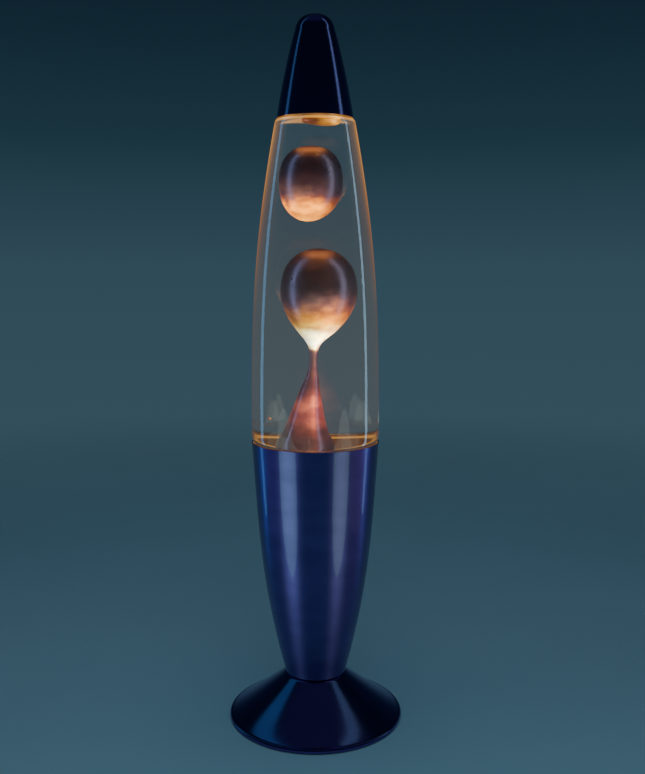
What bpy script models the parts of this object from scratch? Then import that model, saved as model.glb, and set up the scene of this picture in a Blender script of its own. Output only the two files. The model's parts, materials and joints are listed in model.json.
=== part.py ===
"""Lava lamp: a spun metal foot and cup, a bulb in its holder, a sealed bottle of liquid and wax, and a cap.

Metres, +Z up. The origin is the point where the lamp's axis meets the table.
"""

import math

import bmesh
import bpy
from mathutils import Vector

MM = 0.001

# ---------------------------------------------------------------- driving dimensions
TOTAL_HEIGHT = 400.0 * MM
FOOT_RADIUS = 50.8 * MM
FOOT_TOP_Z = 26.5 * MM
CUP_BOTTOM_Z = 26.8 * MM
CUP_BOTTOM_RADIUS = 17.9 * MM
CUP_RIM_Z = 164.7 * MM
CUP_RIM_RADIUS = 36.5 * MM
BOTTLE_BOTTOM_Z = 120.0 * MM
BOTTLE_WIDEST_Z = 171.0 * MM
BOTTLE_RADIUS = 36.4 * MM
BOTTLE_SHOULDER_Z = 344.5 * MM
BOTTLE_SHOULDER_RADIUS = 22.1 * MM
BOTTLE_MOUTH_Z = 373.0 * MM
CAP_RIM_RADIUS = 21.25 * MM

GAP = 0.3 * MM  # between pieces that rest on each other
SHEET = 0.7 * MM  # spun aluminium of the cup and the cap
FOOT_SHEET = 1.0 * MM
GLASS_WALL = 2.2 * MM
GLASS_FLOOR = 4.5 * MM

TUBE_RADIUS = 5.0 * MM  # M10 threaded lamp tube
TUBE_BORE = 3.9 * MM
CLEAR_OF_TUBE = 5.35 * MM
NUT_CORNER_RADIUS = 8.0 * MM
NUT_HEIGHT = 3.0 * MM
WASHER_RADIUS = 9.0 * MM
WASHER_HEIGHT = 1.0 * MM

PLATE_Z = 1.6 * MM
PLATE_SHEET = 1.4 * MM
PLATE_RADIUS = 44.0 * MM
PLATE_PAN_Z = 7.6 * MM  # underside of the raised middle, over the bottom nut
PAD_COUNT = 4
PAD_CIRCLE = 38.0 * MM
PAD_RADIUS = 4.5 * MM
VENT_COUNT = 8
VENT_CIRCLE = 29.0 * MM
VENT_RADIUS = 2.4 * MM

BUSHING_Z = 9.6 * MM
BUSHING_RADIUS = 4.4 * MM
BUSHING_BORE = 3.2 * MM

TUBE_OUTLET_Z = 14.8 * MM  # the side hole that the leads leave by
TUBE_OUTLET_RADIUS = 2.8 * MM
LEAD_RADIUS = 1.1 * MM
LEAD_APART = 1.35 * MM  # each lead's distance from the tube's middle plane
TERMINAL_BLOCK = (8.0 * MM, 18.0 * MM, 6.4 * MM)
TERMINAL_BLOCK_X = -28.0 * MM
TERMINAL_PITCH = 8.0 * MM

HOLDER_BOTTOM_Z = 33.0 * MM
HOLDER_JOIN_Z = 47.6 * MM
HOLDER_TOP_Z = 71.0 * MM
CONTACT_BLOCK_Z = 47.0 * MM
HOLDER_TERMINAL_CIRCLE = 6.6 * MM
BULB_TIP_Z = 54.1 * MM
BULB_TOP_Z = 111.0 * MM
BULB_RADIUS = 19.5 * MM
THREAD_PITCH = 2.82 * MM
THREAD_TURNS = 4

LIQUID_TOP_Z = 342.4 * MM
LIQUID_CHANNEL = 18.4 * MM  # the way that the wax moves in
NECK_BOTTOM_Z = 207.7 * MM
NECK_TOP_Z = 219.0 * MM
COIL_RING_RADIUS = 17.0 * MM
COIL_RADIUS = 2.8 * MM
COIL_WIRE = 0.5 * MM
COIL_TURNS = 13
COIL_POINTS_PER_TURN = 6

BIG, MEDIUM, SMALL = 28, 20, 12  # segments of a turned piece


# ---------------------------------------------------------------- scene, materials and outlines
def empty_scene():
    for obj in list(bpy.data.objects):
        bpy.data.objects.remove(obj)


def new_collection(name):
    collection = bpy.data.collections.new(name)
    bpy.context.scene.collection.children.link(collection)
    return collection


empty_scene()
PARTS = new_collection("lava_lamp")
CUTTERS = new_collection("lava_lamp_cutters")


def material(name, colour, roughness, metallic=0.0, transmission=0.0):
    made = bpy.data.materials.new(name)
    made.use_nodes = True
    shader = made.node_tree.nodes["Principled BSDF"]
    shader.inputs["Base Color"].default_value = (*colour, 1.0)
    shader.inputs["Roughness"].default_value = roughness
    shader.inputs["Metallic"].default_value = metallic
    shader.inputs["Transmission Weight"].default_value = transmission
    return made


NAVY_LACQUER = material("navy_lacquer", (0.005, 0.008, 0.07), 0.12, 0.6)
BLUE_SATIN = material("blue_satin_lacquer", (0.012, 0.03, 0.19), 0.3, 0.8)
CLEAR_GLASS = material("clear_glass", (0.95, 0.96, 0.95), 0.02, 0.0, 1.0)
LIQUID = material("clear_liquid", (0.98, 0.93, 0.85), 0.0, 0.0, 1.0)
WAX = material("copper_wax", (0.55, 0.22, 0.12), 0.35, 0.2)
STEEL = material("zinc_steel", (0.62, 0.63, 0.64), 0.35, 1.0)
BRASS = material("brass", (0.75, 0.56, 0.25), 0.3, 1.0)
PHENOLIC = material("white_holder_plastic", (0.82, 0.8, 0.75), 0.4)
BLACK_PAINT = material("black_painted_steel", (0.02, 0.02, 0.022), 0.45)
BLACK_PLASTIC = material("black_plastic", (0.02, 0.02, 0.022), 0.5)
RUBBER = material("black_rubber", (0.015, 0.015, 0.015), 0.8)
BULB_GLASS = material("frosted_bulb_glass", (0.95, 0.82, 0.6), 0.4, 0.0, 0.6)
VITRITE = material("black_bulb_insulator", (0.01, 0.01, 0.012), 0.2)
TUNGSTEN = material("tungsten", (0.4, 0.38, 0.35), 0.4, 1.0)
CROWN_METAL = material("crown_metal", (0.7, 0.68, 0.6), 0.3, 1.0)
SEAL = material("crown_liner", (0.85, 0.85, 0.82), 0.6)


def bezier(start, handle_1, handle_2, end, steps):
    """Points (radius, height) of a cubic curve, both ends included."""
    points = []
    for i in range(steps + 1):
        t = i / steps
        u = 1.0 - t
        weights = (u**3, 3 * u * u * t, 3 * u * t * t, t**3)
        corners = (start, handle_1, handle_2, end)
        points.append(tuple(sum(w * p[k] for w, p in zip(weights, corners)) for k in (0, 1)))
    return points


def arc(centre, radius, from_degrees, to_degrees, steps):
    """Points of a round stretch. 0 degrees points away from the lamp's axis and 90 points up."""
    points = []
    for i in range(steps + 1):
        angle = math.radians(from_degrees + (to_degrees - from_degrees) * i / steps)
        points.append((centre[0] + radius * math.cos(angle), centre[1] + radius * math.sin(angle)))
    return points


def inset(points, distance):
    """The same outline moved towards the axis side of its own run, which goes down the outer side."""
    moved = []
    for i, (r, z) in enumerate(points):
        before, after = points[max(i - 1, 0)], points[min(i + 1, len(points) - 1)]
        along = Vector((after[0] - before[0], after[1] - before[1])).normalized()
        moved.append((r + along.y * distance, z - along.x * distance))
    return moved


def box_outline(inner, outer, bottom, top):
    """A ring's rectangular section, as a closed loop."""
    return [(outer, top), (outer, bottom), (inner, bottom), (inner, top)]


# ---------------------------------------------------------------- ways of making a piece
def add_object(name, data, finish, collection=PARTS):
    obj = bpy.data.objects.new(name, data)
    collection.objects.link(obj)
    if finish is not None:
        data.materials.append(finish)
    if collection is CUTTERS:
        obj.hide_render = True
        obj.display_type = "WIRE"
    return obj


def smooth(mesh):
    """Round sides shade smoothly, and edges sharper than 40 degrees stay crisp."""
    mesh.shade_smooth()
    mesh.set_sharp_from_angle(angle=math.radians(40))


def turned(name, outline, finish, segments, closed=False, sheet=0.0, collection=PARTS):
    """A turned piece. The outline runs down its outer side. An open one gets a wall, sheet thick, inwards."""
    count = len(outline)
    edges = [(i, i + 1) for i in range(count - 1)]
    if closed:
        edges.append((count - 1, 0))
    mesh = bpy.data.meshes.new(name)
    mesh.from_pydata([(r, 0.0, z) for r, z in outline], edges, [])
    obj = add_object(name, mesh, finish, collection)
    screw = obj.modifiers.new("Turn", "SCREW")
    screw.axis = "Z"
    screw.steps = segments
    screw.render_steps = segments
    screw.use_smooth_shade = True
    screw.use_merge_vertices = True
    screw.merge_threshold = 0.01 * MM
    if sheet:
        wall = obj.modifiers.new("Wall", "SOLIDIFY")
        wall.thickness = sheet
        wall.offset = -1.0
        wall.use_even_offset = True
    return obj


def rod(name, radius, bottom, top, finish, segments, collection=PARTS, centre=(0.0, 0.0)):
    """A plain upright cylinder."""
    mesh = bpy.data.meshes.new(name)
    shape = bmesh.new()
    bmesh.ops.create_cone(
        shape, cap_ends=True, segments=segments, radius1=radius, radius2=radius, depth=top - bottom
    )
    shape.to_mesh(mesh)
    shape.free()
    smooth(mesh)
    obj = add_object(name, mesh, finish, collection)
    obj.location = (centre[0], centre[1], (bottom + top) / 2)
    return obj


def poly_spline(curve, points, radii=None, cyclic=False):
    spline = curve.splines.new("POLY")
    spline.points.add(len(points) - 1)
    for i, point in enumerate(points):
        spline.points[i].co = (*point, 1.0)
        spline.points[i].radius = radii[i] if radii else 1.0
    spline.use_cyclic_u = cyclic


def tube(name, points, radius, finish, bevel_resolution, radii=None):
    """A round wire or rod along a line. Where radii are given, as shares of radius, its section swells."""
    curve = bpy.data.curves.new(name, "CURVE")
    curve.dimensions = "3D"
    curve.bevel_depth = radius
    curve.bevel_resolution = bevel_resolution
    curve.use_fill_caps = True
    poly_spline(curve, points, radii)
    return add_object(name, curve, finish)


def flat_ring(name, corners, corner_radius, bore, bottom, thickness, finish, turn=0.0):
    """A washer or nut: an outer polygon and a round bore, extruded."""
    curve = bpy.data.curves.new(name, "CURVE")
    curve.dimensions = "2D"
    curve.fill_mode = "BOTH"
    curve.extrude = thickness / 2
    for radius, count in ((corner_radius, corners), (bore, MEDIUM)):
        angles = [2 * math.pi * i / count + turn for i in range(count)]
        outline = [(radius * math.cos(a), radius * math.sin(a), 0.0) for a in angles]
        poly_spline(curve, outline, cyclic=True)
    obj = add_object(name, curve, finish)
    obj.location.z = bottom + thickness / 2
    return obj


def as_mesh(obj):
    """The same piece as a welded mesh, so that it can be cut."""
    bpy.context.view_layer.update()
    graph = bpy.context.evaluated_depsgraph_get()
    mesh = bpy.data.meshes.new_from_object(obj.evaluated_get(graph))
    shape = bmesh.new()
    shape.from_mesh(mesh)
    bmesh.ops.remove_doubles(shape, verts=shape.verts, dist=0.01 * MM)
    bmesh.ops.recalc_face_normals(shape, faces=shape.faces)
    shape.to_mesh(mesh)
    shape.free()
    smooth(mesh)
    name, matrix = obj.name, obj.matrix_world.copy()
    bpy.data.objects.remove(obj)
    made = add_object(name, mesh, None)
    made.matrix_world = matrix
    return made


def cut(obj, cutter):
    difference = obj.modifiers.new("Cut " + cutter.name, "BOOLEAN")
    difference.operation = "DIFFERENCE"
    difference.object = cutter
    difference.solver = "EXACT"


def around(count, radius, start_degrees=0.0):
    """Evenly spaced points round the axis."""
    angles = [math.radians(start_degrees) + 2 * math.pi * i / count for i in range(count)]
    return [(radius * math.cos(a), radius * math.sin(a)) for a in angles]


# ---------------------------------------------------------------- foot
def foot_shell():
    """A cone of about 39 degrees that flattens near the table and ends in a turned-down lip."""
    cone_top = (18.2 * MM, FOOT_TOP_Z - 0.7 * MM)
    lip_radius = 1.4 * MM
    lip_centre = (FOOT_RADIUS - lip_radius, 1.5 * MM)
    cone = bezier(cone_top, (28.5 * MM, 17.2 * MM), (41.4 * MM, 7.6 * MM),
                  (lip_centre[0], lip_centre[1] + lip_radius), 5)
    outline = [(CLEAR_OF_TUBE, FOOT_TOP_Z), (17.0 * MM, FOOT_TOP_Z), *cone]
    outline += arc(lip_centre, lip_radius, 55, 0, 2)
    outline.append((FOOT_RADIUS, 0.7 * MM))
    shell = turned("foot_shell", outline, NAVY_LACQUER, BIG, sheet=FOOT_SHEET)
    hole = rod("cord_hole_cutter", BUSHING_RADIUS + GAP, -12 * MM, 12 * MM, None, MEDIUM, CUTTERS)
    hole.rotation_euler.x = math.pi / 2
    hole.location = (0.0, 39.0 * MM, BUSHING_Z)
    cut(shell, hole)


def base_plate():
    """A dished plate. Its raised middle leaves room for the bottom nut, and a ring of holes lets air in."""
    outline = [
        (CLEAR_OF_TUBE, PLATE_PAN_Z + PLATE_SHEET),
        (13.0 * MM, PLATE_PAN_Z + PLATE_SHEET),
        (16.0 * MM, PLATE_PAN_Z),
        (20.0 * MM, PLATE_Z + PLATE_SHEET + 0.8 * MM),
        (23.0 * MM, PLATE_Z + PLATE_SHEET),
        (PLATE_RADIUS, PLATE_Z + PLATE_SHEET),
        (PLATE_RADIUS, PLATE_Z),
        (22.4 * MM, PLATE_Z),
        (18.8 * MM, PLATE_Z + 1.6 * MM),
        (15.0 * MM, PLATE_PAN_Z - 0.6 * MM),
        (13.0 * MM, PLATE_PAN_Z),
        (CLEAR_OF_TUBE, PLATE_PAN_Z),
    ]
    plate = turned("base_plate", outline, BLACK_PAINT, BIG, closed=True)
    for i, centre in enumerate(around(VENT_COUNT, VENT_CIRCLE, 22.5)):
        vent = rod(f"vent_cutter_{i + 1}", VENT_RADIUS, -1 * MM, 6 * MM, None, SMALL, CUTTERS, centre)
        cut(plate, vent)


def foot_pads():
    for i, centre in enumerate(around(PAD_COUNT, PAD_CIRCLE, 45)):
        rod(f"rubber_pad_{i + 1}", PAD_RADIUS, 0.0, PLATE_Z - GAP, RUBBER, SMALL, centre=centre)


def cord_bushing():
    """A level bushing through the back of the foot, with a collar inside. It is turned and laid along +Y."""
    inner_end, outer_end = 27.0 * MM, 47.4 * MM
    collar = BUSHING_RADIUS + 1.4 * MM
    outline = [
        (BUSHING_RADIUS - 0.8 * MM, outer_end),
        (BUSHING_RADIUS, outer_end - 1.2 * MM),
        (BUSHING_RADIUS, inner_end + 1.6 * MM),
        (collar, inner_end + 1.6 * MM),
        (collar, inner_end),
        (BUSHING_BORE, inner_end),
        (BUSHING_BORE, outer_end),
    ]
    bushing = turned("cord_bushing", outline, RUBBER, MEDIUM, closed=True)
    bushing.rotation_euler.x = -math.pi / 2
    bushing.location.z = BUSHING_Z


def threaded_tube_and_nuts():
    """One hollow tube holds the base plate, the foot, the cup and the lamp holder together."""
    tube_bottom = 4.0 * MM
    tube_top = HOLDER_BOTTOM_Z + 5.0 * MM
    threaded = turned("threaded_tube", box_outline(TUBE_BORE, TUBE_RADIUS, tube_bottom, tube_top), STEEL,
                      MEDIUM, closed=True)
    outlet = rod("tube_outlet_cutter", TUBE_OUTLET_RADIUS, -5 * MM, 5 * MM, None, MEDIUM, CUTTERS)
    outlet.rotation_euler.y = math.pi / 2
    outlet.location = (-5 * MM, 0.0, TUBE_OUTLET_Z)
    cut(threaded, outlet)
    below_foot = FOOT_TOP_Z - FOOT_SHEET - GAP
    in_cup = CUP_BOTTOM_Z + SHEET + GAP
    washers = {"foot_washer": below_foot - WASHER_HEIGHT, "cup_washer": in_cup}
    for name, bottom in washers.items():
        flat_ring(name, MEDIUM, WASHER_RADIUS, CLEAR_OF_TUBE, bottom, WASHER_HEIGHT, STEEL)
    nuts = {
        "base_nut": PLATE_PAN_Z - GAP - NUT_HEIGHT,
        "foot_nut": below_foot - WASHER_HEIGHT - GAP - NUT_HEIGHT,
        "cup_nut": in_cup + WASHER_HEIGHT + GAP,
    }
    for name, bottom in nuts.items():
        flat_ring(name, 6, NUT_CORNER_RADIUS, CLEAR_OF_TUBE, bottom, NUT_HEIGHT, STEEL)


# ---------------------------------------------------------------- cup
def lamp_cup():
    """The tall tapered cup that the bottle stands in. Its wall steepens towards the rim."""
    corner = 1.2 * MM
    wall_foot = (CUP_BOTTOM_RADIUS, CUP_BOTTOM_Z + corner)
    wall = bezier(
        (CUP_RIM_RADIUS, CUP_RIM_Z),
        (CUP_RIM_RADIUS - 3.5 * MM, CUP_RIM_Z - 50 * MM),
        (wall_foot[0] + 14.3 * MM, wall_foot[1] + 54 * MM),
        wall_foot,
        7,
    )
    floor = [(CUP_BOTTOM_RADIUS - corner, CUP_BOTTOM_Z), (CLEAR_OF_TUBE, CUP_BOTTOM_Z)]
    turned("lamp_cup", wall + floor, BLUE_SATIN, BIG, sheet=SHEET)


# ---------------------------------------------------------------- lamp holder and bulb
def lamp_holder():
    """A candle-bulb holder: a cup-shaped base on the tube, a barrel over it, and the contacts between."""
    base = [
        (10.9 * MM, HOLDER_JOIN_Z),
        (13.2 * MM, HOLDER_JOIN_Z),
        (13.2 * MM, HOLDER_JOIN_Z - 2.0 * MM),
        (8.6 * MM, 41.0 * MM),
        (8.2 * MM, HOLDER_BOTTOM_Z),
        (CLEAR_OF_TUBE, HOLDER_BOTTOM_Z),
        (CLEAR_OF_TUBE, 40.5 * MM),
        (10.9 * MM, 45.5 * MM),
    ]
    turned("holder_base", base, PHENOLIC, MEDIUM, closed=True)
    barrel = [
        (8.7 * MM, HOLDER_TOP_Z),
        (12.2 * MM, HOLDER_TOP_Z),
        (12.8 * MM, HOLDER_TOP_Z - 1.0 * MM),
        (13.2 * MM, HOLDER_JOIN_Z + GAP),
        (10.9 * MM, HOLDER_JOIN_Z + GAP),
        (10.9 * MM, HOLDER_TOP_Z - 4.0 * MM),
    ]
    turned("holder_barrel", barrel, PHENOLIC, MEDIUM, closed=True)
    block_top = CONTACT_BLOCK_Z + 5.0 * MM
    turned("contact_block", box_outline(1.9 * MM, 10.5 * MM, CONTACT_BLOCK_Z, block_top),
           PHENOLIC, MEDIUM, closed=True)
    sleeve = box_outline(7.3 * MM, 7.9 * MM, block_top + GAP, block_top + 13.5 * MM)
    turned("holder_screw_sleeve", sleeve, BRASS, MEDIUM, closed=True)
    pin = [
        (0.0, BULB_TIP_Z - GAP),
        (2.6 * MM, BULB_TIP_Z - GAP),
        (2.6 * MM, BULB_TIP_Z - GAP - 0.7 * MM),
        (1.5 * MM, BULB_TIP_Z - GAP - 0.7 * MM),
        (1.5 * MM, CONTACT_BLOCK_Z + 0.6 * MM),
        (0.0, CONTACT_BLOCK_Z + 0.6 * MM),
    ]
    turned("centre_contact", pin, BRASS, SMALL)
    head = CONTACT_BLOCK_Z - GAP
    for i, centre in enumerate(around(2, HOLDER_TERMINAL_CIRCLE, 90)):
        rod(f"holder_terminal_{i + 1}", 1.7 * MM, head - 1.4 * MM, head, BRASS, SMALL, centre=centre)


def smooth_route(points, steps):
    """A line that runs smoothly through the given points, with this many steps between neighbours."""
    ends = [2 * points[0] - points[1], *points, 2 * points[-1] - points[-2]]
    line = []
    for before, start, end, after in zip(ends, ends[1:], ends[2:], ends[3:]):
        for i in range(steps):
            t = i / steps
            bend = (before * -1 + start * 3 - end * 3 + after) * t**3
            turn = (before * 2 - start * 5 + end * 4 - after) * t**2
            line.append((start * 2 + (end - before) * t + turn + bend) / 2)
    return line + [points[-1]]


def leads():
    """Two short leads from the terminal block, through the tube's side hole, up to the holder."""
    for i, side in enumerate((1, -1)):
        lane = side * LEAD_APART / MM
        route = [
            (-23.7, side * TERMINAL_PITCH / 2 / MM, 6.6),
            (-20.6, side * 3.8, 7.4),
            (-15.6, side * 2.8, 12.0),
            (-9.6, lane, 14.8),
            (-4.4, lane, 15.1),
            (-1.2, lane, 18.4),
            (-0.6, lane, 24.0),
            (-0.2, lane, 38.0),
            (0.0, side * 2.6, 41.2),
            (0.0, side * 6.0, 43.6),
        ]
        line = smooth_route([Vector(point) * MM for point in route], 3)
        tube(f"holder_lead_{i + 1}", line, LEAD_RADIUS, BLACK_PLASTIC, 2)


def terminal_block():
    """The insulated block in the foot where the mains cord would join the leads."""
    bottom = PLATE_Z + PLATE_SHEET + GAP
    mesh = bpy.data.meshes.new("terminal_block")
    shape = bmesh.new()
    bmesh.ops.create_cube(shape, size=1.0)
    bmesh.ops.scale(shape, vec=TERMINAL_BLOCK, verts=shape.verts)
    shape.to_mesh(mesh)
    shape.free()
    block = add_object("terminal_block", mesh, PHENOLIC)
    block.location = (TERMINAL_BLOCK_X, 0.0, bottom + TERMINAL_BLOCK[2] / 2)
    top = bottom + TERMINAL_BLOCK[2]
    for i, side in enumerate((1, -1)):
        centre = (TERMINAL_BLOCK_X, side * TERMINAL_PITCH / 2)
        cut(block, rod(f"block_well_cutter_{i + 1}", 2.0 * MM, top - 3 * MM, top + 1 * MM, None, SMALL,
                       CUTTERS, centre))
        rod(f"block_screw_{i + 1}", 1.7 * MM, top - 2.7 * MM, top - 1.2 * MM, BRASS, SMALL, centre=centre)


def screw_cap_outline(bottom):
    """A rolled thread as stacked ridges, down the outer side and back up the plain inside."""
    crest, root, bore = 6.95 * MM, 6.45 * MM, 5.9 * MM
    top = bottom + THREAD_TURNS * THREAD_PITCH
    outside = [(bore + 0.4 * MM, top + 4.2 * MM), (7.7 * MM, top + 4.2 * MM), (7.7 * MM, top + 2.6 * MM)]
    for turn in range(THREAD_TURNS):
        ridge = top - turn * THREAD_PITCH
        outside += [(root, ridge), (crest, ridge - THREAD_PITCH / 2)]
    outside += [(root, bottom), (bore, bottom), (bore, top)]
    return outside


def bulb():
    tip_top = BULB_TIP_Z + 1.0 * MM
    tip = [(0.0, tip_top), (2.0 * MM, tip_top), (2.3 * MM, tip_top - 0.6 * MM), (1.2 * MM, BULB_TIP_Z),
           (0.0, BULB_TIP_Z)]
    turned("bulb_tip", tip, BRASS, SMALL)
    insulator_z = tip_top + GAP
    insulator = [(0.0, insulator_z + 2.6 * MM), (6.2 * MM, insulator_z + 2.6 * MM),
                 (6.2 * MM, insulator_z + 2.0 * MM), (3.2 * MM, insulator_z), (0.0, insulator_z)]
    turned("bulb_insulator", insulator, VITRITE, MEDIUM)
    cap_z = insulator_z + 2.6 * MM + GAP
    turned("bulb_screw_cap", screw_cap_outline(cap_z), BRASS, MEDIUM, closed=True)

    neck = (6.0 * MM, 70.6 * MM)
    shoulder = (BULB_RADIUS, 100.5 * MM)
    dome = bezier((0.0, BULB_TOP_Z), (12.0 * MM, BULB_TOP_Z), (19.3 * MM, 107.0 * MM), shoulder, 3)
    reflector = bezier(shoulder, (19.4 * MM, 92.5 * MM), (6.4 * MM, 87.0 * MM), (6.2 * MM, 78.0 * MM), 4)
    turned("bulb_envelope", dome + reflector[1:] + [neck], BULB_GLASS, MEDIUM, sheet=0.7 * MM)

    stem = [(0.0, 86.0 * MM), (1.6 * MM, 85.4 * MM), (1.9 * MM, 79.0 * MM), (4.4 * MM, 72.0 * MM),
            (4.4 * MM, 71.0 * MM), (0.0, 71.0 * MM)]
    turned("bulb_stem", stem, BULB_GLASS, SMALL)
    sag = [math.pi * i / 8 for i in range(9)]
    loop = [(7.0 * MM * math.cos(a), 0.0, 90.0 * MM + 2.4 * MM * math.sin(a)) for a in sag]
    post = 86.4 * MM
    tube("bulb_filament", [(2.4 * MM, 0.0, post), *loop, (-2.4 * MM, 0.0, post)], 0.35 * MM, TUNGSTEN, 2)


# ---------------------------------------------------------------- bottle and what it holds
def bottle_wall():
    """The bottle's outer side. Under its widest point a small step rests on the cup's rim."""
    shoulder = (BOTTLE_SHOULDER_RADIUS, BOTTLE_SHOULDER_Z - 1.0 * MM)
    widest = (BOTTLE_RADIUS, BOTTLE_WIDEST_Z)
    upper = bezier(shoulder, (33.1 * MM, 284 * MM), (36.5 * MM, 245 * MM), widest, 8)
    step = [(BOTTLE_RADIUS - 0.2 * MM, CUP_RIM_Z + 1.6 * MM), (BOTTLE_RADIUS - 1.2 * MM, CUP_RIM_Z + GAP)]
    lower = bezier((BOTTLE_RADIUS - 1.3 * MM, CUP_RIM_Z - 1.5 * MM), (34.8 * MM, 154 * MM),
                   (33.0 * MM, 141 * MM), (30.5 * MM, 128 * MM), 3)
    return upper + step + lower


def bottle():
    wall = bottle_wall()
    mouth_bore = 8.5 * MM
    neck_foot = (20.0 * MM, BOTTLE_SHOULDER_Z)
    neck = [
        (mouth_bore, BOTTLE_MOUTH_Z),
        (12.4 * MM, BOTTLE_MOUTH_Z),
        (13.0 * MM, BOTTLE_MOUTH_Z - 0.8 * MM),
        (13.0 * MM, BOTTLE_MOUTH_Z - 3.6 * MM),
        (12.5 * MM, BOTTLE_MOUTH_Z - 5.5 * MM),
        (13.2 * MM, BOTTLE_MOUTH_Z - 10 * MM),
        neck_foot,
        (BOTTLE_SHOULDER_RADIUS - 0.8 * MM, BOTTLE_SHOULDER_Z),
    ]
    heel = bezier(wall[-1], (29.6 * MM, 122.6 * MM), (28.4 * MM, BOTTLE_BOTTOM_Z),
                  (25.0 * MM, BOTTLE_BOTTOM_Z), 3)
    punt = [(19.0 * MM, BOTTLE_BOTTOM_Z + 0.8 * MM), (0.0, BOTTLE_BOTTOM_Z + 1.6 * MM)]
    inner_wall = inset(wall, GLASS_WALL)[:-1]
    inner_floor = BOTTLE_BOTTOM_Z + GLASS_FLOOR
    inner_neck = [(mouth_bore, BOTTLE_MOUTH_Z - 6 * MM), (10.2 * MM, BOTTLE_MOUTH_Z - 12 * MM),
                  (18.6 * MM, BOTTLE_SHOULDER_Z - 0.6 * MM)]
    inside = inner_neck + inner_wall + [(27.4 * MM, inner_floor + 3.0 * MM), (24.0 * MM, inner_floor),
                                        (0.0, inner_floor)]
    turned("bottle", inside[::-1] + neck + wall + heel[1:] + punt, CLEAR_GLASS, BIG)


def crown_closure():
    """A crimped crown over the mouth, and the soft liner that seals it."""
    top = BOTTLE_MOUTH_Z + 1.9 * MM
    sheet = 0.4 * MM
    skirt = (14.3 * MM, BOTTLE_MOUTH_Z - 4.0 * MM)
    outline = [(0.0, top), (12.2 * MM, top), (13.5 * MM, top - 0.7 * MM), skirt]
    turned("crown_closure", outline, CROWN_METAL, MEDIUM, sheet=sheet)
    rod("crown_seal", 12.0 * MM, BOTTLE_MOUTH_Z + GAP, top - sheet - GAP, SEAL, MEDIUM)


def liquid():
    """The liquid as a sleeve along the glass. The middle is left open for the wax that displaces it."""
    wall = [p for p in inset(bottle_wall(), GLASS_WALL + GAP) if 142 * MM < p[1] < 340 * MM]
    outline = [(LIQUID_CHANNEL, LIQUID_TOP_Z), (19.5 * MM, LIQUID_TOP_Z), *wall,
               (29.3 * MM, 139.5 * MM), (LIQUID_CHANNEL, 158.0 * MM)]
    turned("liquid", outline, LIQUID, BIG, closed=True)


def wax_section(name, stations, bevel_resolution):
    """Wax along a leaning centre line. Stations are (x, z, radius) in mm, from the top down."""
    largest = max(radius for _, _, radius in stations)
    points = [(x * MM, 0.0, z * MM) for x, z, _ in stations]
    radii = [radius / largest for _, _, radius in stations]
    return as_mesh(tube(name, points, largest * MM, WAX, bevel_resolution, radii))


def wax():
    """A pool of wax with its leaning cone, a thin neck, a drop on the neck, and a free blob."""
    neck_top, neck_bottom = NECK_TOP_Z / MM, NECK_BOTTOM_Z / MM
    pool = wax_section(
        "wax_pool",
        [(-1.0, neck_bottom - 0.3, 1.9), (-2.2, 194.7, 4.3), (-3.1, 181.0, 6.9), (-3.8, 171.0, 9.4),
         (-3.9, 163.0, 12.0), (-2.6, 152.0, 15.0), (-1.0, 144.0, 19.4), (0.0, 138.0, 25.5),
         (0.0, 135.5, 28.3), (0.0, 131.0, 27.4), (0.0, 127.6, 25.6), (0.0, 124.8, 23.2)],
        10,
    )
    floor_z = BOTTLE_BOTTOM_Z + GLASS_FLOOR
    room = COIL_RADIUS + COIL_WIRE + 0.6 * MM
    inner, outer = COIL_RING_RADIUS - room, COIL_RING_RADIUS + room
    groove = box_outline(inner, outer, floor_z - 2 * MM, floor_z + 2 * room)
    cut(pool, turned("coil_groove_cutter", groove, None, MEDIUM, closed=True, collection=CUTTERS))

    wax_section("wax_neck", [(-0.6, neck_top, 1.9), (-0.8, 213.0, 1.7), (-1.0, neck_bottom, 1.9)], 4)
    wax_section(
        "wax_drop",
        [(1.5, 273.6, 2.2), (1.5, 271.8, 6.6), (1.6, 267.4, 10.7), (1.6, 261.6, 13.7), (1.6, 254.0, 15.5),
         (1.6, 246.0, 15.5), (1.4, 239.6, 14.2), (1.1, 233.4, 12.0), (0.6, 227.6, 8.0),
         (-0.2, 223.6, 4.7), (-0.6, neck_top + 0.3, 2.2)],
        8,
    )
    widest = (12.9 * MM, 313.5 * MM)
    blob = bezier((0.0, 330.4 * MM), (7.4 * MM, 330.4 * MM), (12.9 * MM, 324 * MM), widest, 5)
    blob += bezier(widest, (12.9 * MM, 301 * MM), (7.4 * MM, 289 * MM), (0.0, 288.9 * MM), 6)[1:]
    free = turned("wax_blob", blob, WAX, MEDIUM)
    free.location.x = -1.8 * MM


def surface_coil():
    """The ring of coiled wire that lies on the bottle's floor, under the wax."""
    centre_z = BOTTLE_BOTTOM_Z + GLASS_FLOOR + GAP + COIL_RADIUS + COIL_WIRE
    points = []
    count = COIL_TURNS * COIL_POINTS_PER_TURN
    for i in range(count):
        around_ring = 2 * math.pi * 0.985 * i / count
        around_wire = 2 * math.pi * i / COIL_POINTS_PER_TURN
        r = COIL_RING_RADIUS + COIL_RADIUS * math.cos(around_wire)
        points.append((r * math.cos(around_ring), r * math.sin(around_ring),
                       centre_z + COIL_RADIUS * math.sin(around_wire)))
    tube("surface_coil", points, COIL_WIRE, STEEL, 2)


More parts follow.
